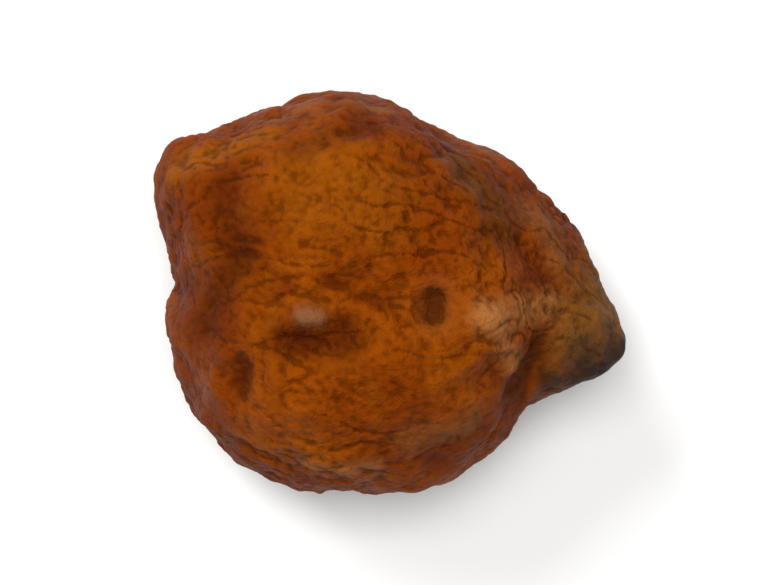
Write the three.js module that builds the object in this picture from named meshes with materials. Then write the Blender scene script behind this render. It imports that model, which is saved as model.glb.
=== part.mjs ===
// A dry brown chickpea of the small, wrinkled kind, lying on its back with the hilum side up.
//
// Frame: millimetres, +Z up. The surface that the seed rests on is z = 0, and the origin lies
// under the middle of the seed. The beak points towards +X, and the two seed leaves
// (cotyledons) lie on the +Y and -Y sides of the middle line that runs round from beak to back.
//
// The seed grew as one piece, so it is one closed solid. Its form is a rounded body, on which
// each swelling, hollow and furrow stands as so many millimetres out from, or into, the body.

import * as THREE from 'three';
import { mergeVertices } from 'three/addons/utils/BufferGeometryUtils.js';
import { ImprovedNoise } from 'three/addons/math/ImprovedNoise.js';

// ---- Sizes, in millimetres and degrees --------------------------------------------------------

// The rounded body, before anything stands out from it. A squareness of 2 is an ellipsoid.
const BODY = { length: 6.84, width: 7.06, height: 6.35, squareness: 2.25 };

// The small flat spot: how much of the round underside is missing where the seed rests.
const REST_DEPTH = 0.22;

// Swellings and hollows. bearing turns from +X towards +Y, and rise lifts from the level to +Z.
// reach is how far the skin stands out (or, below zero, in), and round and upright are the
// half widths around the seed and from its underside to its top.
const BEAK = { bearing: -13.5, rise: 9, reach: 1.0, round: 0.72, upright: 0.66 };
const BEAK_ROOT = { bearing: 4, rise: -5, reach: 0.74, round: 1.25, upright: 1.4 };
const SHOULDER = { bearing: 147, rise: 12, reach: 0.68, round: 0.82, upright: 1.5 };
const BROW_HOLLOW = { bearing: 60, rise: 4, reach: -0.44, round: 0.95, upright: 2.2 };
const UPPER_CHEEK = { bearing: 108, rise: 42, reach: 0.16, round: 1.8, upright: 1.4 };
const LOWER_CHEEK = { bearing: -106, rise: 44, reach: 0.18, round: 1.9, upright: 1.3 };

// The chalaza is a low knob in a dimple, and the hilum is the scar near the beak: a pit with a
// raised pad in front of it. Both are on the top.
const CHALAZA_DIMPLE = { bearing: -140, rise: 70, reach: -0.3, round: 0.8, upright: 0.62 };
const CHALAZA_KNOB = { bearing: -151, rise: 72, reach: 0.26, round: 0.32, upright: 0.32 };
const HILUM_PIT = { bearing: BEAK.bearing, rise: 66, reach: -0.16, round: 0.4, upright: 0.26 };
const HILUM_PAD = { bearing: BEAK.bearing, rise: 53, reach: 0.1, round: 0.38, upright: 0.5 };

// The middle line meets the back of the body at this bearing, and its front at the beak's.
const BACK_BEARING = 178;

// Furrows and a ridge along the middle line. from and to are degrees around it: 0 in front, 90 on
// top, 180 at the back and 270 underneath. halfWidth is across the line. The furrow is shallow
// over the hilum side and deeper between the seed leaves behind. The ridge is the radicle, the
// young root inside the coat, which runs up to the beak from below.
const HILUM_FURROW = { reach: -0.2, halfWidth: 0.75, from: 62, to: 176, fade: 16 };
const BACK_FURROW = { reach: -0.22, halfWidth: 0.46, from: 170, to: 252, fade: 12 };
const RADICLE_RIDGE = { reach: 0.22, halfWidth: 0.6, from: 296, to: 352, fade: 12 };

// The uneven drying of the coat: broad lumps, and coarse wrinkles that stand on them. size is
// from one to the next, relief is from hollow to crest, and shift picks another pattern.
const LUMPS = { size: 2.3, relief: 0.22, shift: 4.7 };
const WRINKLES = { size: 1.0, relief: 0.08, shift: 11.3 };

// How finely the skin is divided, and how strongly it is gathered at the beak.
const SKIN_DIVISIONS = 18;
const BEAK_GATHER = 0.22;

// ---- Helpers ----------------------------------------------------------------------------------

const { degToRad, radToDeg, smoothstep, euclideanModulo } = THREE.MathUtils;
const noise = new ImprovedNoise();
const UP = new THREE.Vector3(0, 0, 1);

// The direction that a bearing and a rise point in.
function towards(bearing, rise) {
  const level = Math.cos(degToRad(rise));
  return new THREE.Vector3(
    level * Math.cos(degToRad(bearing)),
    level * Math.sin(degToRad(bearing)),
    Math.sin(degToRad(rise)),
  );
}

// Where the plain body's skin is in a direction from its centre.
function onBody(direction) {
  const share = (part, size) => Math.pow(Math.abs(part) / (size / 2), BODY.squareness);
  const sum = share(direction.x, BODY.length) + share(direction.y, BODY.width)
    + share(direction.z, BODY.height);
  return direction.clone().multiplyScalar(Math.pow(sum, -1 / BODY.squareness));
}

// A soft bell: 1 at the middle, and about a third at a distance of 1.
function bell(u, v = 0) {
  return Math.exp(-u * u - v * v);
}

// 1 between from and to, with soft ends.
function between(value, { from, to, fade }) {
  return smoothstep(value, from - fade, from + fade) * (1 - smoothstep(value, to - fade, to + fade));
}

// ---- The features of the skin: each gives millimetres out from a point of the body -------------

// A swelling or hollow at a bearing and a rise.
function swelling({ bearing, rise, reach, round, upright }) {
  const centre = onBody(towards(bearing, rise));
  const around = new THREE.Vector3().crossVectors(UP, centre).normalize();
  const upwards = new THREE.Vector3().crossVectors(centre, around).normalize();
  return (point) => {
    const offset = point.clone().sub(centre);
    const onThisSide = point.dot(centre) > 0;
    return onThisSide ? reach * bell(offset.dot(around) / round, offset.dot(upwards) / upright) : 0;
  };
}

// How far a point lies to the side of the middle line, which bends at the centre.
const FRONT = towards(BEAK.bearing, 0);
const BACK = towards(BACK_BEARING, 0);
function besideMiddle(point) {
  const end = point.x > 0 ? FRONT : BACK;
  return point.y - point.x * (end.y / end.x);
}

// A furrow or ridge along the middle line.
function middleFeature({ reach, halfWidth, ...stretch }) {
  return (point) => {
    const along = euclideanModulo(radToDeg(Math.atan2(point.z, point.x)), 360);
    return reach * bell(besideMiddle(point) / halfWidth) * between(along, stretch);
  };
}

function unevenness(point, { size, shift }) {
  const at = point.clone().divideScalar(size).addScalar(shift);
  return noise.noise(at.x, at.y, at.z);
}

// Broad lumps: smooth swells of no particular direction.
function lumps(point) {
  return LUMPS.relief * unevenness(point, LUMPS);
}

// Coarse wrinkles: narrow crests between wider hollows.
function wrinkles(point) {
  const crest = 1 - 2 * Math.abs(unevenness(point, WRINKLES));
  return WRINKLES.relief * (crest * crest - 0.5);
}

const FEATURES = [
  ...[BEAK, BEAK_ROOT, SHOULDER, BROW_HOLLOW, UPPER_CHEEK, LOWER_CHEEK].map(swelling),
  ...[CHALAZA_DIMPLE, CHALAZA_KNOB, HILUM_PIT, HILUM_PAD].map(swelling),
  ...[HILUM_FURROW, BACK_FURROW, RADICLE_RIDGE].map(middleFeature),
  lumps,
  wrinkles,
];

// ---- The seed ---------------------------------------------------------------------------------

// The skin in a direction from the centre: the body, and all that stands out from it or in.
function onSkin(direction) {
  const body = onBody(direction);
  const out = FEATURES.reduce((sum, feature) => sum + feature(body), 0);
  return body.addScaledVector(direction, out);
}

// Draws directions together around the beak, where the form is tightest.
const BEAK_TIP = towards(BEAK.bearing, BEAK.rise);
function gathered(direction) {
  const near = smoothstep(direction.dot(BEAK_TIP), 0, 1);
  return direction.addScaledVector(BEAK_TIP, BEAK_GATHER * near).normalize();
}

function seedSkin() {
  const sphere = new THREE.IcosahedronGeometry(1, SKIN_DIVISIONS);
  sphere.deleteAttribute('normal');
  sphere.deleteAttribute('uv');
  const skin = mergeVertices(sphere);
  const position = skin.getAttribute('position');
  for (let i = 0; i < position.count; i += 1) {
    const direction = new THREE.Vector3().fromBufferAttribute(position, i).normalize();
    const point = onSkin(gathered(direction));
    position.setXYZ(i, point.x, point.y, point.z);
  }
  return skin;
}

// Flattens the lowest part to one level, and stands the seed on z = 0 with the origin under
// the middle of its box.
function setDown(skin) {
  const position = skin.getAttribute('position');
  skin.computeBoundingBox();
  const { min, max } = skin.boundingBox;
  const floor = min.z + REST_DEPTH;
  for (let i = 0; i < position.count; i += 1) {
    position.setZ(i, Math.max(position.getZ(i), floor));
  }
  skin.translate(-(min.x + max.x) / 2, -(min.y + max.y) / 2, -floor);
  skin.computeVertexNormals();
  return skin;
}

function driedCoat() {
  return new THREE.MeshStandardMaterial({ color: 0x9a4a12, roughness: 0.6, metalness: 0 });
}

const chickpea = new THREE.Mesh(setDown(seedSkin()), driedCoat());
chickpea.name = 'chickpea';

const model = new THREE.Group();
model.add(chickpea);

export default model;
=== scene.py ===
# %% [markdown]
# # A dry brown chickpea
#
# This lesson dresses one chickpea: a small, dark, wrinkled seed that lies on its back on a pale
# table. The rough solid comes from CAD and fixes the size and the place. Blender adds what a
# solid of a few thousand facets can't hold: the fine shrinkage of the dried coat, and its colour.
#
# The first step loads that solid. Everything is in metres, z = 0 is the table, +X points to the
# beak end and +Z comes out of the side with the hilum, the scar where the seed hung in its pod.

import bmesh
import bpy
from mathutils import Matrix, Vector


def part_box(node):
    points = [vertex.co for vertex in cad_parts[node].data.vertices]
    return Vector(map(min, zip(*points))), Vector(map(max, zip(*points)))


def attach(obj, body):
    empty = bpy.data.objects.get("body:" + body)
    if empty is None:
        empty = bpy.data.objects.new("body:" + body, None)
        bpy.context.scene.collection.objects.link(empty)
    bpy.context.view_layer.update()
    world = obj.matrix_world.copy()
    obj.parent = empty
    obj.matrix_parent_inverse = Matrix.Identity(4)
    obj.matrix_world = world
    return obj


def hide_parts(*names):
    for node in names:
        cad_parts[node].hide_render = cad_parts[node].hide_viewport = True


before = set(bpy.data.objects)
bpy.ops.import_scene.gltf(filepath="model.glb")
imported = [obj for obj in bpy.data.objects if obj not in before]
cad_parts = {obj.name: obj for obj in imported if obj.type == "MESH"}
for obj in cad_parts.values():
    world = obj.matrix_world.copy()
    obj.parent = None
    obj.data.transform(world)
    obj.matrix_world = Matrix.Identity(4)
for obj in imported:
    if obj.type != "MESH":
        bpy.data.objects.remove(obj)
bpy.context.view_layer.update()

MM = 0.001
low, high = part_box("chickpea")
centre = (low + high) / 2
size = high - low
print("box of the solid in mm:", [round(side / MM, 2) for side in size])

# %% [markdown]
# ## Camera
#
# The seed is seen from straight above, so the camera looks down the Z axis with +Y at the top of
# the picture. A long lens from far away keeps the seed from bulging towards the camera. The
# distance follows from the lens and from how much of the picture's width the seed should fill.

# %% Place the camera
LENS = 240.0
SENSOR = 36.0
SEED_SHARE_OF_WIDTH = 0.6
MIDDLE_HEIGHT_SHARE = 0.5

camera_data = bpy.data.cameras.new("camera")
camera_data.lens = LENS
camera_data.sensor_width = SENSOR
camera_data.clip_start = 1 * MM
camera_data.clip_end = 5.0
camera = bpy.data.objects.new("camera", camera_data)
bpy.context.scene.collection.objects.link(camera)
bpy.context.scene.camera = camera

picture_width = size.x / SEED_SHARE_OF_WIDTH
distance = picture_width * LENS / SENSOR
camera.location = (centre.x, centre.y, size.z * MIDDLE_HEIGHT_SHARE + distance)
print("camera height in mm:", round(camera.location.z / MM, 1))

# %% [markdown]
# ## Light
#
# The seed lies in a light tent. A broad lamp overhead lights the table and the seed evenly, and
# another, lower and to the upper left, brings out the folds. An area light is a glowing square:
# the larger it is for its distance, the softer the shadow. The lamps hang a long way off for the
# size of a seed, so that the table is lit evenly in every view. The pale world stands for the
# walls of the tent. The camera doesn't see the lamps themselves.

# %% Hang the lamps
WARM_WHITE = (1.0, 0.985, 0.96)
WHITE = (1.0, 1.0, 1.0)
LAMP_REACH = 1.6
LAMP_SIDE = 0.7
TENT_GLOW = 0.12


def hang_lamp(name, direction, watts, colour):
    """Hangs a square area light in a direction from the seed, turned to face it."""
    lamp_data = bpy.data.lights.new(name, "AREA")
    lamp_data.shape = "SQUARE"
    lamp_data.size = LAMP_SIDE
    lamp_data.energy = watts
    lamp_data.color = colour
    lamp = bpy.data.objects.new(name, lamp_data)
    bpy.context.scene.collection.objects.link(lamp)
    lamp.location = centre + Vector(direction).normalized() * LAMP_REACH
    lamp.rotation_euler = (centre - lamp.location).to_track_quat("-Z", "Y").to_euler()
    lamp.visible_camera = False


hang_lamp("main_lamp", (-0.55, 0.70, 1.0), 20.0, WARM_WHITE)
hang_lamp("top_lamp", (0.0, 0.06, 1.0), 30.0, WHITE)

world = bpy.data.worlds.new("tent")
world.use_nodes = True
background = world.node_tree.nodes["Background"]
background.inputs["Color"].default_value = (*WHITE, 1.0)
background.inputs["Strength"].default_value = TENT_GLOW
bpy.context.scene.world = world
bpy.context.scene.view_settings.view_transform = "Standard"

# %% [markdown]
# ## Small helpers for node trees
#
# Both the shape and the finish are made with nodes. A tree built in a script is easier to read
# when a node takes its inputs in one line, so these helpers add a node, and plug in what is given:
# a socket is linked, and anything else is set as the input's own value.

# %% Write the node helpers
def plug(tree, value, socket):
    """Links value to socket if it is a socket, or else sets it."""
    if isinstance(value, bpy.types.NodeSocket):
        tree.links.new(value, socket)
    elif value is not None:
        socket.default_value = value


def node(tree, kind, inputs=(), **settings):
    """Adds a node with its settings, and its inputs by name or by number."""
    made = tree.nodes.new(kind)
    for name, value in settings.items():
        setattr(made, name, value)
    for key, value in dict(inputs).items():
        plug(tree, value, made.inputs[key])
    return made


def calc(tree, operation, *values):
    """The result of a Math node."""
    made = node(tree, "ShaderNodeMath", enumerate(values), operation=operation)
    return made.outputs[0]


def product(tree, first, *rest):
    """All the values multiplied together."""
    for value in rest:
        first = calc(tree, "MULTIPLY", first, value)
    return first


def total(tree, first, *rest):
    """All the values added up."""
    for value in rest:
        first = calc(tree, "ADD", first, value)
    return first


def vector_calc(tree, operation, *values):
    """The result of a Vector Math node: its vector, or its one number for a length or a dot."""
    made = node(tree, "ShaderNodeVectorMath", enumerate(values), operation=operation)
    single = operation in ("DOT_PRODUCT", "LENGTH", "DISTANCE")
    return made.outputs["Value" if single else "Vector"]


def scaled(tree, vector, factor):
    """A vector times a number."""
    made = node(tree, "ShaderNodeVectorMath", {0: vector, "Scale": factor}, operation="SCALE")
    return made.outputs["Vector"]


def eased(tree, value, start, end, to_start=0.0, to_end=1.0):
    """Value eased from one range to another, and held at its ends."""
    inputs = {"Value": value, "From Min": start, "From Max": end, "To Min": to_start, "To Max": to_end}
    return node(tree, "ShaderNodeMapRange", inputs, interpolation_type="SMOOTHSTEP").outputs["Result"]


def mixed(tree, below, above, share, kind):
    """Two vectors ("VECTOR") or colours ("RGBA") mixed, all of the second where share is 1."""
    made = node(tree, "ShaderNodeMix", (), data_type=kind)
    plug(tree, share, made.inputs["Factor"])
    plug(tree, below, next(s for s in made.inputs if s.name == "A" and s.type == kind))
    plug(tree, above, next(s for s in made.inputs if s.name == "B" and s.type == kind))
    return next(s for s in made.outputs if s.type == kind)


# %% [markdown]
# ## The solid and its landmarks
#
# The tree below works on a copy of the CAD solid. That solid is made of loose triangles, so the
# copy's corners are merged first: only a joined surface can be smoothed. A ray cast down onto it
# gives the true height of any mark on the upper side, from the two distances a maker would
# measure on the seed.

# %% Find the landmarks
from mathutils.bvhtree import BVHTree

MERGE_WITHIN = 1e-4 * MM


def merged_copy(source):
    """A copy of a CAD node's mesh with its loose triangles joined at their corners."""
    mesh = source.data.copy()
    form = bmesh.new()
    form.from_mesh(mesh)
    bmesh.ops.remove_doubles(form, verts=form.verts, dist=MERGE_WITHIN)
    form.to_mesh(mesh)
    form.free()
    mesh.materials.clear()
    return mesh


solid_mesh = merged_copy(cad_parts["chickpea"])
corners = [vertex.co.copy() for vertex in solid_mesh.vertices]
facets = [polygon.vertices for polygon in solid_mesh.polygons]
solid_tree = BVHTree.FromPolygons(corners, facets)


def on_top(right, up):
    """The point of the upper side that lies right and up, in mm, of the middle of the box."""
    above = Vector((centre.x + right * MM, centre.y + up * MM, 2 * high.z))
    return solid_tree.ray_cast(above, Vector((0, 0, -1)))[0]


UNDER_THE_BEAK = Vector((-0.50, -0.60, -0.1)) * MM
BACK_UP = 0.3 * MM

beak_tip = max(corners, key=lambda corner: corner.x)
beak_underside = beak_tip + UNDER_THE_BEAK
back_point = Vector((low.x, BACK_UP, centre.z))
print("corners of the solid:", len(corners))
print("beak tip in mm:", [round(c / MM, 2) for c in beak_tip])

# %% [markdown]
# Noise gives any seed. What makes it this seed is a handful of marks: the chalaza, a knob in a
# dimple where the supply line ended, the hilum, the oval scar where the seed hung in its pod, the
# pale ridge that leads to the beak, and some single folds and shades. Each mark is one stroke of
# a modelling tool: from one point to another, with a radius, a height (below zero, a depth), and
# the colour and strength with which it stains the coat. Colours are the shares of red, green and
# blue light that the coat sends back. The hilum and the knob of the chalaza are smooth on a real
# seed, so the folds and wrinkles that are drawn later keep off them.
# Some of the stains are painted light and shade: painted highlights on the top and shoulder crests, a
# painted sheen low on the seed's right, and painted shade in the fold under the beak.

# %% Describe the marks
DARK_RED = (0.050, 0.006, 0.0006)
DARK_BROWN = (0.045, 0.009, 0.0010)
PALE_TAN = (0.250, 0.098, 0.026)
AMBER = (0.215, 0.062, 0.002)
OLIVE = (0.062, 0.020, 0.0010)
KNOB_TAN = (0.140, 0.058, 0.026)
PALE_BROWN = (0.165, 0.060, 0.014)


def stroke(start, end, radius, height, colour, strength):
    """A mark of the coat, from start to end, each (right, up) in mm; radius and height in mm."""
    return {
        "start": on_top(*start),
        "end": on_top(*end),
        "radius": radius * MM,
        "height": height * MM,
        "colour": colour,
        "strength": strength,
    }


MARKS = {
    "top hollow": stroke((-1.6, 2.45), (-0.3, 2.85), 0.30, -0.07, DARK_RED, 0.55),
    # The pale stains of the top and shoulder crests are painted highlights on real raised crests.
    "top crest highlight": stroke((-2.0, 3.0), (-0.2, 3.2), 0.22, 0.05, PALE_TAN, 0.35),
    "shoulder crest highlight": stroke((-3.7, 2.15), (-2.2, 2.75), 0.35, 0.06, AMBER, 0.6),
    "shoulder hollow": stroke((-2.85, 1.9), (-2.7, 0.9), 0.42, -0.09, DARK_RED, 0.6),
    "back hollow": stroke((-2.55, 0.65), (-3.2, -0.4), 0.38, -0.07, DARK_BROWN, 0.55),
    "low pit": stroke((-2.6, -1.3), (-2.6, -1.65), 0.24, -0.07, DARK_RED, 0.7),
    "bottom crest": stroke((-1.5, -2.95), (-0.3, -2.98), 0.2, 0.04, PALE_TAN, 0.4),
    "crown": stroke((-1.4, 1.7), (-0.3, 1.6), 0.9, 0.0, AMBER, 0.35),
    "back shade": stroke((-3.2, 1.1), (-3.0, -0.5), 0.75, 0.0, DARK_RED, 0.25),
    "beak shoulder": stroke((1.3, 2.2), (1.9, 1.3), 0.60, -0.04, OLIVE, 0.65),
    "beak flank": stroke((2.5, 1.35), (2.9, 0.7), 0.40, 0.03, PALE_BROWN, 0.5),
    # The pale stain of the low sheen is a painted sheen on a low raised stroke.
    "painted low sheen": stroke((0.4, -2.5), (1.3, -2.3), 0.40, 0.03, PALE_BROWN, 0.5),
    # The beak fold is a real fold, and its dark stain is painted shade on its steep side.
    "beak fold shade": stroke((2.65, -0.95), (2.2, -1.7), 0.30, -0.10, DARK_BROWN, 0.75),
    "beak ridge": stroke((1.65, -0.42), (2.8, -0.25), 0.32, 0.06, PALE_TAN, 0.55),
    "ridge branch": stroke((1.8, -0.6), (2.15, -1.25), 0.24, 0.05, PALE_TAN, 0.55),
    "hilum pad": stroke((1.6, -0.42), (1.75, -0.4), 0.27, 0.05, PALE_TAN, 0.5),
    "hilum rim": stroke((0.80, -0.42), (0.80, -0.08), 0.42, 0.07, PALE_BROWN, 0.25),
    "hilum pit": stroke((0.80, -0.40), (0.80, -0.12), 0.22, -0.14, DARK_BROWN, 0.45),
    "chalaza dimple": stroke((-1.80, -0.80), (-0.80, -0.74), 0.42, -0.10, DARK_RED, 0.85),
    "chalaza knob": stroke((-1.50, -0.40), (-1.28, -0.44), 0.19, 0.13, KNOB_TAN, 0.8),
}
SMOOTH_MARKS = ("hilum rim", "chalaza knob")
for name, mark in MARKS.items():
    print(name, "starts in mm:", [round(c / MM, 2) for c in mark["start"]])

# %% [markdown]
# ## The dried coat
#
# A chickpea's coat fits while the seed is full of water. The seed leaves shrink as they dry, and
# the coat has to fold: into broad folds with dents between them, into creases that run from the
# beak towards the back, into short wrinkles, and into a pebbled grain all over. Sculpting would
# do it, but all of it follows a rule, so Geometry Nodes make it, and a change of one number gives
# the next seed. The tree refines the solid, then moves each point along its normal by the sum of
# the noises and the marks. The flat spot underneath is left as it is: the seed stands on it.
#
# A fold has a sharp crest, which is ridged noise: noise is 0.5 along wandering lines, and folding
# its values there turns each line into a crest. A crease is a narrow groove along such a line,
# and its noise is drawn out along the line from beak to back. Wrinkles and creases come in
# patches, as on a real seed, so another noise says how strong they are.

# %% Name the inputs of the coat
def coat_inputs():
    """The tree's inputs: name, socket type and value, in the order in which they are shown."""
    inputs = [
        ("Smoothing levels", "NodeSocketInt", 2),
        ("Hollow reach", "NodeSocketInt", 14),
        ("Beak tip", "NodeSocketVector", tuple(beak_tip)),
        ("Back", "NodeSocketVector", tuple(back_point)),
        ("Fold depth", "NodeSocketFloat", 0.060 * MM),
        ("Fold size", "NodeSocketFloat", 1.6 * MM),
        ("Dent depth", "NodeSocketFloat", 0.110 * MM),
        ("Dent size", "NodeSocketFloat", 0.80 * MM),
        ("Crease depth", "NodeSocketFloat", 0.032 * MM),
        ("Crease size", "NodeSocketFloat", 0.70 * MM),
        ("Crease stretch", "NodeSocketFloat", 2.6),
        ("Wrinkle depth", "NodeSocketFloat", 0.015 * MM),
        ("Wrinkle size", "NodeSocketFloat", 0.32 * MM),
        ("Pebble depth", "NodeSocketFloat", 0.007 * MM),
        ("Pebble size", "NodeSocketFloat", 0.13 * MM),
        ("Rest height", "NodeSocketFloat", 0.45 * MM),
        ("Pattern", "NodeSocketFloat", 3.0),
    ]
    for name, mark in MARKS.items():
        inputs.append((name + " start", "NodeSocketVector", tuple(mark["start"])))
        inputs.append((name + " end", "NodeSocketVector", tuple(mark["end"])))
        inputs.append((name + " radius", "NodeSocketFloat", mark["radius"]))
        inputs.append((name + " height", "NodeSocketFloat", mark["height"]))
    return inputs


# %% Write the noises of the coat
PATTERN_STEP = (7.3, 3.1, 5.7)
CREST_SLOPE = 10.0
FOLD_ROUNDNESS = 0.02
WRINKLE_ROUNDNESS = 0.01
GROOVE_ROUNDNESS = 0.002
GROOVE_WIDTH = 0.045
FOLD_WANDER = 1.2
CREASE_WANDER = 0.7
WRINKLE_WANDER = 1.3
PEBBLE_WANDER = 0.8


def noise(tree, at, detail=2.0, output="Fac"):
    """A noise at a place that is measured in sizes."""
    inputs = {"Vector": at, "Scale": 1.0, "Detail": detail, "Roughness": 0.5}
    return node(tree, "ShaderNodeTexNoise", inputs.items()).outputs[output]


def in_sizes(tree, place, size_socket, given):
    """A place measured in sizes instead of metres, and moved on by the pattern's number."""
    counted = scaled(tree, place, calc(tree, "DIVIDE", 1.0, size_socket))
    return vector_calc(tree, "ADD", counted, scaled(tree, PATTERN_STEP, given["Pattern"]))


def bent(tree, at, amount):
    """A place, in sizes, pushed about by a noise, so that what is drawn there wanders."""
    push = vector_calc(tree, "SUBTRACT", noise(tree, at, 1.0, "Color"), (0.5, 0.5, 0.5))
    return vector_calc(tree, "ADD", at, scaled(tree, push, amount))


def from_line(tree, value, roundness):
    """How far a noise's value is from 0.5, rounded off where it is near."""
    off = calc(tree, "SUBTRACT", value, 0.5)
    return calc(tree, "SQRT", calc(tree, "MULTIPLY_ADD", off, off, roundness * roundness))


def crested(tree, value, roundness):
    """Ridged noise: nearly 1 along its crests, and falling away from them, below 0 in the end."""
    fall = product(tree, from_line(tree, value, roundness), CREST_SLOPE)
    return calc(tree, "SUBTRACT", 1.0, fall)


def grooved(tree, value):
    """-1 along the lines where a noise is 0.5, and 0 away from them."""
    return eased(tree, from_line(tree, value, GROOVE_ROUNDNESS), 0.0, GROOVE_WIDTH, -1.0, 0.0)


def along_and_across(tree, place, given):
    """A place split into its part along the line from back to beak, and its part across it."""
    from_back_to_beak = vector_calc(tree, "SUBTRACT", given["Beak tip"], given["Back"])
    line = vector_calc(tree, "NORMALIZE", from_back_to_beak)
    from_back = vector_calc(tree, "SUBTRACT", place, given["Back"])
    along = scaled(tree, line, vector_calc(tree, "DOT_PRODUCT", from_back, line))
    return along, vector_calc(tree, "SUBTRACT", from_back, along)


def folds(tree, place, given):
    """Broad folds with sharp crests."""
    at = in_sizes(tree, place, given["Fold size"], given)
    return crested(tree, noise(tree, bent(tree, at, FOLD_WANDER), 1.5), FOLD_ROUNDNESS)


def dents(tree, place, given):
    """Rounded lumps and dents between the folds, from -1 to 1."""
    at = in_sizes(tree, place, given["Dent size"], given)
    return calc(tree, "MULTIPLY_ADD", noise(tree, at, 2.0), 2.0, -1.0)


def creases(tree, place, given):
    """Narrow creases, drawn out from the beak to the back."""
    along, across = along_and_across(tree, place, given)
    short_along = scaled(tree, along, calc(tree, "DIVIDE", 1.0, given["Crease stretch"]))
    at = in_sizes(tree, vector_calc(tree, "ADD", across, short_along), given["Crease size"], given)
    return grooved(tree, noise(tree, bent(tree, at, CREASE_WANDER), 1.0))


def wrinkles(tree, place, given):
    """Short wrinkles that wander between the folds."""
    at = in_sizes(tree, place, given["Wrinkle size"], given)
    return crested(tree, noise(tree, bent(tree, at, WRINKLE_WANDER), 1.0), WRINKLE_ROUNDNESS)


def pebbles(tree, place, given):
    """Low rounded pebbles, each the middle of a cell."""
    at = bent(tree, in_sizes(tree, place, given["Pebble size"], given), PEBBLE_WANDER)
    cells = node(tree, "ShaderNodeTexVoronoi", {"Vector": at, "Scale": 1.0})
    return eased(tree, cells.outputs["Distance"], 0.1, 0.8, 1.0, -1.0)


# %% Write the marks and the measures of the coat
def bell(tree, place, given, name):
    """1 along a mark's stroke, easing to about a third at its radius and to 0 beyond."""
    stroke_way = vector_calc(tree, "SUBTRACT", given[name + " end"], given[name + " start"])
    offset = vector_calc(tree, "SUBTRACT", place, given[name + " start"])
    covered = vector_calc(tree, "DOT_PRODUCT", offset, stroke_way)
    whole = vector_calc(tree, "DOT_PRODUCT", stroke_way, stroke_way)
    from_start = calc(tree, "MAXIMUM", calc(tree, "DIVIDE", covered, whole), 0.0)
    share = calc(tree, "MINIMUM", from_start, 1.0)
    across = vector_calc(tree, "SUBTRACT", offset, scaled(tree, stroke_way, share))
    radii = calc(tree, "DIVIDE", vector_calc(tree, "LENGTH", across), given[name + " radius"])
    return calc(tree, "EXPONENT", product(tree, radii, radii, -1.0))


def hollow_measure(tree, rounds):
    """How far each point lies below the blurred surface round it, in metres."""
    position = node(tree, "GeometryNodeInputPosition").outputs[0]
    blurred = node(tree, "GeometryNodeBlurAttribute", {"Iterations": rounds}, data_type="FLOAT_VECTOR")
    plug(tree, position, next(s for s in blurred.inputs if s.type == "VECTOR" and s.enabled))
    blurred_position = next(s for s in blurred.outputs if s.type == "VECTOR" and s.enabled)
    normal = node(tree, "GeometryNodeInputNormal").outputs[0]
    to_blurred = vector_calc(tree, "SUBTRACT", blurred_position, position)
    return vector_calc(tree, "DOT_PRODUCT", to_blurred, normal)


def stored(tree, geometry, name, value, kind="FLOAT"):
    """The geometry with a number or a vector kept at each point under a name."""
    made = node(tree, "GeometryNodeStoreNamedAttribute", (), data_type=kind, domain="POINT")
    plug(tree, geometry, made.inputs["Geometry"])
    made.inputs["Name"].default_value = name
    plug(tree, value, next(s for s in made.inputs if s.name == "Value" and s.enabled))
    return made.outputs["Geometry"]


# %% [markdown]
# The marks also stain the coat, and a few of these stains are painted highlights and painted shade.
# Laid one over another, they are like coats of thin paint: each one covers what is below by its
# share. The tree keeps the sum as two values at each point, the paint and how much of the coat it
# covers, so that the material has only two to read.

# %% Lay the stains over one another
def mark_stains_and_painted_light(tree, bells):
    """The paint of all the marks, and how much of the coat it covers."""
    paint = (0.0, 0.0, 0.0)
    covered = 0.0
    for name, value in bells.items():
        share = eased(tree, value, 0.0, 1.0, 0.0, MARKS[name]["strength"])
        paint = mixed(tree, paint, MARKS[name]["colour"], share, "VECTOR")
        newly = product(tree, calc(tree, "SUBTRACT", 1.0, covered), share)
        covered = total(tree, covered, newly)
    return paint, covered


# %% Build the tree of the dried coat
PATCH_IN_FOLDS = 1.6
PATCH_EDGE = (0.36, 0.60)
PATCH_STRENGTH = (0.35, 1.1)
TOUCHES_TABLE = 0.02 * MM
CREASE_ROUNDS = 5


def coat_relief(tree, place, given, bells):
    """How far out each point of the coat moves, in metres."""
    patch_size = product(tree, given["Fold size"], PATCH_IN_FOLDS)
    patch = noise(tree, in_sizes(tree, place, patch_size, given), 1.0)
    patchy = eased(tree, patch, *PATCH_EDGE, *PATCH_STRENGTH)
    drawn = total(
        tree,
        product(tree, folds(tree, place, given), given["Fold depth"]),
        product(tree, dents(tree, place, given), given["Dent depth"]),
        product(tree, creases(tree, place, given), given["Crease depth"], patchy),
        product(tree, wrinkles(tree, place, given), given["Wrinkle depth"], patchy),
    )
    for name in SMOOTH_MARKS:
        drawn = product(tree, drawn, calc(tree, "SUBTRACT", 1.0, bells[name]))
    grain = product(tree, pebbles(tree, place, given), given["Pebble depth"])
    marks = (product(tree, bells[name], given[name + " height"]) for name in MARKS)
    return total(tree, drawn, grain, *marks)


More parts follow.
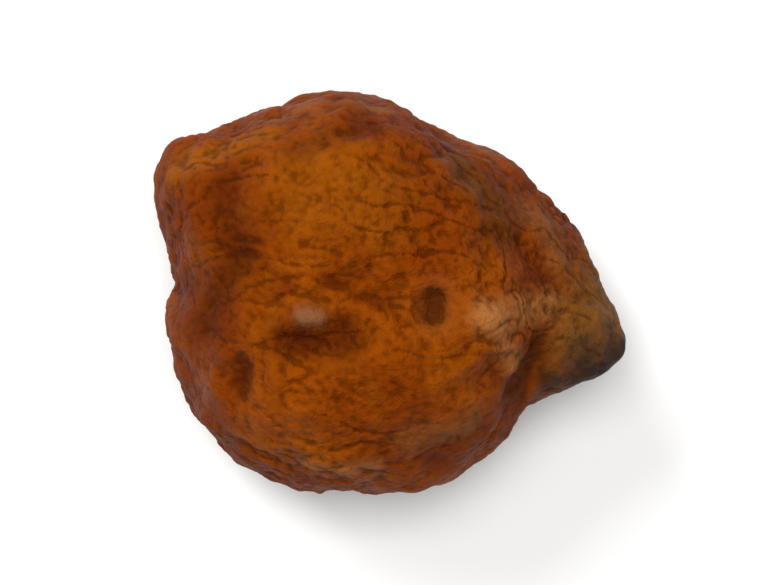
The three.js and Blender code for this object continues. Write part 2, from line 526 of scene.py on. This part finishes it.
def dried_coat_tree(material):
    """The Geometry Nodes tree that turns the smooth solid into the dried, wrinkled seed."""
    tree = bpy.data.node_groups.new("dried_coat", "GeometryNodeTree")
    tree.interface.new_socket("Geometry", in_out="INPUT", socket_type="NodeSocketGeometry")
    for name, kind, _ in coat_inputs():
        tree.interface.new_socket(name, in_out="INPUT", socket_type=kind)
    tree.interface.new_socket("Geometry", in_out="OUTPUT", socket_type="NodeSocketGeometry")
    given = node(tree, "NodeGroupInput").outputs

    hollow = hollow_measure(tree, given["Hollow reach"])
    start = stored(tree, given["Geometry"], "hollow", hollow)
    smoothing = {"Mesh": start, "Level": given["Smoothing levels"]}
    fine = node(tree, "GeometryNodeSubdivisionSurface", smoothing)
    place = node(tree, "GeometryNodeInputPosition").outputs[0]
    bells = {name: bell(tree, place, given, name) for name in MARKS}
    paint, covered = mark_stains_and_painted_light(tree, bells)
    geometry = stored(tree, fine.outputs[0], "stain_and_painted_light", paint, "FLOAT_VECTOR")
    geometry = stored(tree, geometry, "stain_and_painted_light_share", covered)

    height = node(tree, "ShaderNodeSeparateXYZ", {0: place}).outputs["Z"]
    off_the_table = eased(tree, height, TOUCHES_TABLE, given["Rest height"])
    relief = product(tree, coat_relief(tree, place, given, bells), off_the_table)
    normal = node(tree, "GeometryNodeInputNormal").outputs[0]
    moving = {"Geometry": geometry, "Offset": scaled(tree, normal, relief)}
    moved = node(tree, "GeometryNodeSetPosition", moving)

    geometry = stored(tree, moved.outputs[0], "crease", hollow_measure(tree, CREASE_ROUNDS))
    smooth = node(tree, "GeometryNodeSetShadeSmooth", {"Geometry": geometry})
    real = node(tree, "GeometryNodeRealizeInstances", {"Geometry": smooth.outputs[0]})
    dressed = node(tree, "GeometryNodeSetMaterial", {"Geometry": real.outputs[0], "Material": material})
    node(tree, "NodeGroupOutput", {"Geometry": dressed.outputs[0]})
    return tree


# %% [markdown]
# ## The colour of the coat
#
# The coat is orange-brown, but no two spots of it are the same: the tannin is patchy, the coat is
# tan round the beak, and its tip is almost black. Painted shade makes it redder and darker where
# the coat sank in and in its creases, and dark under the beak, and painted light makes its crests
# paler. So the colour is mixed in layers, each with its own mask: two noises for the patches and
# the flecks, the hollows and creases that the shape's tree measured, the stains of the marks, and
# the distance from the beak. A range of four numbers is two values of a measure and what each of
# them turns into. A range of two is a pair of distances from a point of the beak: a colour is
# whole within the first, and gone beyond the second.

# %% Write the helpers of the colour
def colour_ramp(tree, value, stops):
    """Colours by value, from (place, colour) pairs."""
    made = node(tree, "ShaderNodeValToRGB", {0: value})
    ramp = made.color_ramp
    ramp.elements[0].position, ramp.elements[0].color = stops[0][0], (*stops[0][1], 1.0)
    ramp.elements[1].position, ramp.elements[1].color = stops[-1][0], (*stops[-1][1], 1.0)
    for place, colour in stops[1:-1]:
        ramp.elements.new(place).color = (*colour, 1.0)
    return made.outputs["Color"]


def layer(tree, below, colour, mask):
    """A colour laid over what is below, where the mask is 1."""
    return mixed(tree, below, (*colour, 1.0), mask, "RGBA")


def near(tree, place, point, inner, outer, wander):
    """1 within inner metres of a point and 0 beyond outer, with an edge that wanders."""
    away = vector_calc(tree, "DISTANCE", place, tuple(point))
    return eased(tree, calc(tree, "ADD", away, wander), inner, outer, 1.0, 0.0)


def patches(tree, place, size, detail, roughness):
    """A noise with patches of a size, in metres."""
    inputs = {"Vector": place, "Scale": 1 / size, "Detail": detail, "Roughness": roughness}
    return node(tree, "ShaderNodeTexNoise", inputs).outputs["Fac"]


def kept(tree, name, output="Fac"):
    """What the shape's tree kept at each point under a name."""
    return node(tree, "ShaderNodeAttribute", (), attribute_name=name).outputs[output]


# %% Mix the colour of the coat
RED_BROWN = (0.098, 0.013, 0.0006)
ORANGE_BROWN = (0.145, 0.025, 0.0005)
ORANGE = (0.190, 0.040, 0.0008)
GOLD_FLECK = (0.220, 0.055, 0.0015)
DARK_FLECK = (0.075, 0.008, 0.0006)
PAINTED_HOLLOW_SHADE = (0.070, 0.008, 0.0006)
TANNIN_PATCH_SIZE = 2.8 * MM
GOLD_RANGE = (0.50, 0.70, 0.0, 0.35)
DARK_RANGE = (0.47, 0.30, 0.0, 0.40)
SUNKEN_RANGE = (-0.02 * MM, 0.05 * MM, 0.0, 0.6)


def plain_coat(tree, place, mottle):
    """The coat before its marks: patchy, flecked, and with redder painted shade where it sank in."""
    colour = colour_ramp(tree, patches(tree, place, TANNIN_PATCH_SIZE, 3.0, 0.55), [
        (0.32, RED_BROWN),
        (0.50, ORANGE_BROWN),
        (0.66, ORANGE),
    ])
    colour = layer(tree, colour, GOLD_FLECK, eased(tree, mottle, *GOLD_RANGE))
    colour = layer(tree, colour, DARK_FLECK, eased(tree, mottle, *DARK_RANGE))
    # Painted shade: the coat is darker and redder where it sank in.
    return layer(tree, colour, PAINTED_HOLLOW_SHADE, eased(tree, kept(tree, "hollow"), *SUNKEN_RANGE))


def coat_with_stains_and_painted_light(tree, colour):
    """The coat with the stains of the marks over it, painted highlights and painted shade among them.
    """
    bare = calc(tree, "SUBTRACT", 1.0, kept(tree, "stain_and_painted_light_share"))
    return vector_calc(tree, "ADD", scaled(tree, colour, bare), kept(tree, "stain_and_painted_light", "Vector"))


# %% Mix the colour of the beak and of the creases
BEAK_TAN = (0.120, 0.044, 0.007)
PAINTED_BEAK_SHADE = (0.022, 0.012, 0.009)
BEAK_BLACK = (0.018, 0.012, 0.010)
PAINTED_CREASE_SHADE = (0.045, 0.006, 0.0006)
ROUND_BEAK = (0.9 * MM, 2.3 * MM)
UNDER_BEAK = (0.55 * MM, 1.35 * MM)
AT_TIP = (0.05 * MM, 0.60 * MM)
EDGE_WANDER = 1.6 * MM
CREASE_RANGE = (0.001 * MM, 0.012 * MM, 0.0, 0.28)
CREST_TO_CREASE = (-0.012 * MM, 0.012 * MM, 1.20, 0.80)


def beak_colours(tree, colour, place, mottle):
    """Tan round the beak, painted shade under it, and almost black at its tip."""
    wander = product(tree, calc(tree, "SUBTRACT", mottle, 0.5), EDGE_WANDER)
    colour = layer(tree, colour, BEAK_TAN, near(tree, place, beak_tip, *ROUND_BEAK, wander))
    # Painted shade: dark under the beak, where its lower side turns down from the light.
    colour = layer(tree, colour, PAINTED_BEAK_SHADE, near(tree, place, beak_underside, *UNDER_BEAK, wander))
    return layer(tree, colour, BEAK_BLACK, near(tree, place, beak_tip, *AT_TIP, wander))


def painted_crease_shade_and_crest_light(tree, colour):
    """Painted shade in the creases, redder and darker, and painted light on the crests, paler."""
    crease = kept(tree, "crease")
    colour = layer(tree, colour, PAINTED_CREASE_SHADE, eased(tree, crease, *CREASE_RANGE))
    return scaled(tree, colour, eased(tree, crease, *CREST_TO_CREASE))


# %% [markdown]
# ## Shine and grain
#
# A dry coat has a dull satin shine, duller where it is dark. The shine is weak, and it takes on
# some of the coat's orange, because the skin is waxy rather than glassy. The finest grain is too
# small to be worth real geometry, so a bump tilts the light there by the heights of a noise.

# %% Build the material of the coat
SHINE = 0.08
SHINE_TINT = (1.0, 0.42, 0.10, 1.0)
DULL_TO_SATIN = (0.35, 0.65, 0.68, 0.50)
MOTTLE_SIZE = 1.1 * MM
GRAIN_SIZE = 0.20 * MM
GRAIN_HEIGHT = 0.10 * MM


def seed_coat():
    """The material of the dried coat."""
    material = bpy.data.materials.new("dried_coat")
    material.use_nodes = True
    tree = material.node_tree
    shader = tree.nodes["Principled BSDF"]
    place = node(tree, "ShaderNodeTexCoord").outputs["Object"]
    mottle = patches(tree, place, MOTTLE_SIZE, 6.0, 0.62)

    colour = coat_with_stains_and_painted_light(tree, plain_coat(tree, place, mottle))
    # Painted shade under the beak and in the creases, and painted light on the crests.
    colour = painted_crease_shade_and_crest_light(tree, beak_colours(tree, colour, place, mottle))
    plug(tree, colour, shader.inputs["Base Color"])

    plug(tree, eased(tree, mottle, *DULL_TO_SATIN), shader.inputs["Roughness"])
    shader.inputs["Specular IOR Level"].default_value = SHINE
    shader.inputs["Specular Tint"].default_value = SHINE_TINT

    grain = patches(tree, place, GRAIN_SIZE, 5.0, 0.65)
    bump = node(tree, "ShaderNodeBump", {"Height": grain, "Strength": 1.0, "Distance": GRAIN_HEIGHT})
    plug(tree, bump.outputs["Normal"], shader.inputs["Normal"])
    return material


# %% [markdown]
# The tree is now run on the solid as a modifier. Its result becomes a plain mesh, with the
# measured numbers still on its points for the material to read, and the start is thrown away.

# %% Make the seed
def grown(name, mesh, tree, values):
    """Runs a Geometry Nodes tree on a mesh, and gives the result as a plain object."""
    start = bpy.data.objects.new(name + "_start", mesh)
    bpy.context.scene.collection.objects.link(start)
    modifier = start.modifiers.new("grow", "NODES")
    modifier.node_group = tree
    sockets = {s.name: s.identifier for s in tree.interface.items_tree if s.in_out == "INPUT"}
    for key, value in values.items():
        modifier[sockets[key]] = value
    depsgraph = bpy.context.evaluated_depsgraph_get()
    result = bpy.data.meshes.new_from_object(start.evaluated_get(depsgraph))
    bpy.data.objects.remove(start)
    made = bpy.data.objects.new(name, result)
    bpy.context.scene.collection.objects.link(made)
    return made


coat = seed_coat()
coat_values = {name: value for name, _, value in coat_inputs()}
seed = grown("dried_seed", solid_mesh, dried_coat_tree(coat), coat_values)
print("triangles:", sum(len(p.vertices) - 2 for p in seed.data.polygons))
for name in ("hollow", "crease", "stain_and_painted_light_share"):
    values = sorted(item.value for item in seed.data.attributes[name].data)
    picks = (int(share * (len(values) - 1)) for share in (0.0, 0.02, 0.25, 0.5, 0.75, 0.98, 1.0))
    print(name, "from least to most:", ["%.2g" % values[pick] for pick in picks])

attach(seed, "root")
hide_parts("chickpea")

# %% [markdown]
# ## The table
#
# A plain pale sheet, wide enough to fill every view. It is staging: it belongs to the picture,
# and not to the seed.

# %% Lay the table
TABLE_SIDE = 2.0
PAPER_WHITE = (0.71, 0.71, 0.705, 1.0)
PAPER_ROUGHNESS = 0.8

bpy.ops.mesh.primitive_plane_add(size=TABLE_SIDE)
table = bpy.context.object
table.name = "table"
paper = bpy.data.materials.new("paper")
paper.use_nodes = True
paper_shader = paper.node_tree.nodes["Principled BSDF"]
paper_shader.inputs["Base Color"].default_value = PAPER_WHITE
paper_shader.inputs["Roughness"].default_value = PAPER_ROUGHNESS
table.data.materials.append(paper)
